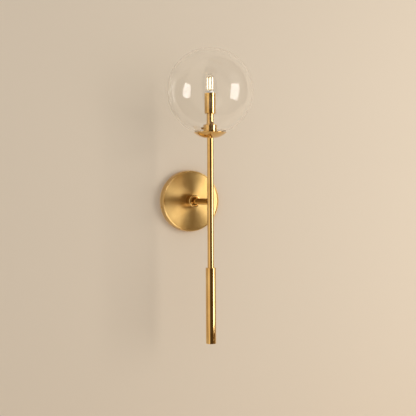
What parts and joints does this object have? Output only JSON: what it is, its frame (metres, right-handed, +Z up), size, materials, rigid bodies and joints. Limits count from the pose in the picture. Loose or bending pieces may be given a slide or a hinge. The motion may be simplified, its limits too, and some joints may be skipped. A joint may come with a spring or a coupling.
{
  "type": "globe wall sconce",
  "caption": "Wall light with a clear glass globe on a slim upright brass rod, held off a round stepped canopy by a short arm.",
  "frame": {"origin": "middle of the wall bracket's slots, on the wall plane behind the canopy", "axes": "+Z up along the rod, +Y into the wall, the lamp stands out along -Y, +X to the right seen from the room"},
  "size_m": [0.16, 0.185, 0.547],
  "materials": {
    "brushed_brass": "circular brushed, lacquered",
    "polished_brass": "polished",
    "dark_brass": "darkened",
    "zinc_steel": "zinc plated",
    "earth_green": "green passivated",
    "clear_glass": "clear, fire polished",
    "bulb_glass": "clear",
    "ceramic_white": "matt white",
    "filament_glow": "lit",
    "support_wire": "drawn wire",
    "pin_metal": "nickel plated",
    "spring_strip": "rolled strip",
    "seat_silicone": "translucent silicone",
    "lead_cover": "insulation",
    "earth_cover": "green insulation",
    "connector_cap": "moulded"
  },
  "bodies": {
    "fixture": {"wall_bracket": "zinc_steel", "earth_screw": "earth_green", "earth_lead": "earth_cover", "canopy": "brushed_brass", "canopy_screws": "polished_brass", "arm_boss": "polished_brass", "arm_nipple": "zinc_steel", "arm_washer": "zinc_steel", "arm_nut": "zinc_steel", "arm_tube": "polished_brass", "arm_saddle": "polished_brass", "rod_tube": "polished_brass", "lower_sleeve": "polished_brass", "sleeve_top_ring": "polished_brass", "sleeve_end_cap": "polished_brass", "centre_nipple": "zinc_steel", "globe_dish": "polished_brass", "globe_gasket": "seat_silicone", "lamp_stem": "polished_brass", "stem_screw": "dark_brass", "socket_cup": "polished_brass", "cup_nut": "zinc_steel", "holder_strap": "zinc_steel", "lamp_holder": "ceramic_white", "holder_screws": "zinc_steel", "holder_contacts": "spring_strip", "lamp_leads": "lead_cover", "wire_connectors": "connector_cap"},
    "globe": {"glass_globe": "clear_glass"},
    "bulb": {"bulb_base": "ceramic_white", "bulb_pins": "pin_metal", "bulb_capsule": "bulb_glass", "bulb_filaments": "filament_glow", "bulb_supports": "support_wire"}
  },
  "joints": [
    {"name": "globe_lift", "type": "slide", "parent": "fixture", "child": "globe", "axis": [0, 0, 1], "range_m": [0, 0.16]},
    {"name": "bulb_pull", "type": "slide", "parent": "fixture", "child": "bulb", "axis": [0, 0, 1], "range_m": [0, 0.04]}
  ]
}
